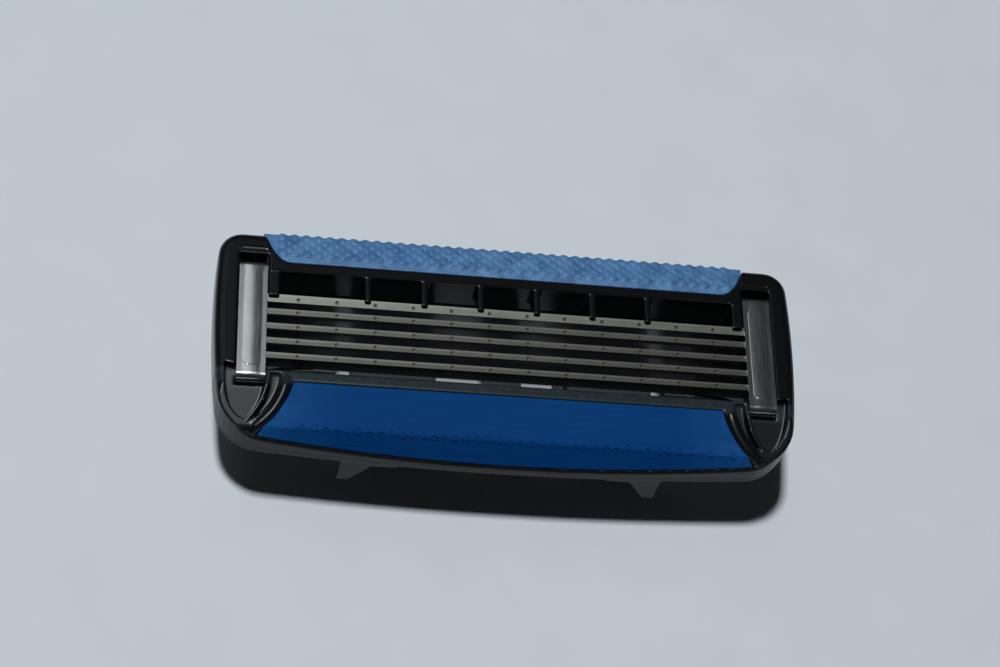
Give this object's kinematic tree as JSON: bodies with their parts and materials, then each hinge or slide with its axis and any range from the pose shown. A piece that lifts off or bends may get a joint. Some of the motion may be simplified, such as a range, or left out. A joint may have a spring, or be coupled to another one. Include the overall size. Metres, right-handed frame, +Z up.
{
  "type": "razor cartridge",
  "caption": "Replaceable multi-blade razor cartridge: black frame with floating blades under end clips, a bumpy blue rubber guard, a blue lubricating strip and a pivoting handle yoke.",
  "frame": {"origin": "on the table under the middle of the cartridge, at the foot of the handle yoke", "axes": "+X along the blades, +Y towards the guard strip, +Z up through the shaving side"},
  "size_m": [0.0418, 0.0168, 0.0097],
  "materials": {
    "frame_plastic": "satin black moulded plastic",
    "shell_plastic": "satin dark grey moulded plastic",
    "guard_rubber": "light blue soft rubber",
    "lube_polymer": "deep blue extruded lubricating polymer",
    "clip_aluminium": "pressed bare aluminium",
    "blade_steel": "coated blade steel",
    "rail_steel": "bright bent steel strip",
    "arm_plastic": "black moulded plastic",
    "yoke_plastic": "black moulded plastic"
  },
  "bodies": {
    "cartridge": {"housing": "frame_plastic", "rear_shell": "shell_plastic", "guard_strip": "guard_rubber", "lube_strip": "lube_polymer", "clip_left": "clip_aluminium", "clip_right": "clip_aluminium", "spring_arm_left_1": "arm_plastic", "spring_arm_left_2": "arm_plastic", "spring_arm_left_3": "arm_plastic", "spring_arm_left_4": "arm_plastic", "spring_arm_left_5": "arm_plastic", "spring_arm_right_1": "arm_plastic", "spring_arm_right_2": "arm_plastic", "spring_arm_right_3": "arm_plastic", "spring_arm_right_4": "arm_plastic", "spring_arm_right_5": "arm_plastic"},
    "yoke": {"yoke": "yoke_plastic"},
    "blade_unit_1": {"blade_1": "blade_steel", "blade_support_1": "rail_steel"},
    "blade_unit_2": {"blade_2": "blade_steel", "blade_support_2": "rail_steel"},
    "blade_unit_3": {"blade_3": "blade_steel", "blade_support_3": "rail_steel"},
    "blade_unit_4": {"blade_4": "blade_steel", "blade_support_4": "rail_steel"},
    "blade_unit_5": {"blade_5": "blade_steel", "blade_support_5": "rail_steel"}
  },
  "joints": [
    {"name": "yoke_pivot", "type": "hinge", "parent": "cartridge", "child": "yoke", "pos_m": [0, 0.001, 0.0043], "axis": [1, 0, 0], "range_deg": [0, 40]},
    {"name": "blade_press_1", "type": "slide", "parent": "cartridge", "child": "blade_unit_1", "axis": [0, 0, 1], "range_m": [-0.0004, 0], "stiffness_N_per_m": 100, "springref_m": 0.0008, "deforming": ["spring_arm_left_1", "spring_arm_right_1"]},
    {"name": "blade_press_2", "type": "slide", "parent": "cartridge", "child": "blade_unit_2", "axis": [0, 0, 1], "range_m": [-0.0004, 0], "stiffness_N_per_m": 100, "springref_m": 0.0008, "deforming": ["spring_arm_left_2", "spring_arm_right_2"]},
    {"name": "blade_press_3", "type": "slide", "parent": "cartridge", "child": "blade_unit_3", "axis": [0, 0, 1], "range_m": [-0.0004, 0], "stiffness_N_per_m": 100, "springref_m": 0.0008, "deforming": ["spring_arm_left_3", "spring_arm_right_3"]},
    {"name": "blade_press_4", "type": "slide", "parent": "cartridge", "child": "blade_unit_4", "axis": [0, 0, 1], "range_m": [-0.0004, 0], "stiffness_N_per_m": 100, "springref_m": 0.0008, "deforming": ["spring_arm_left_4", "spring_arm_right_4"]},
    {"name": "blade_press_5", "type": "slide", "parent": "cartridge", "child": "blade_unit_5", "axis": [0, 0, 1], "range_m": [-0.0004, 0], "stiffness_N_per_m": 100, "springref_m": 0.0008, "deforming": ["spring_arm_left_5", "spring_arm_right_5"]}
  ]
}
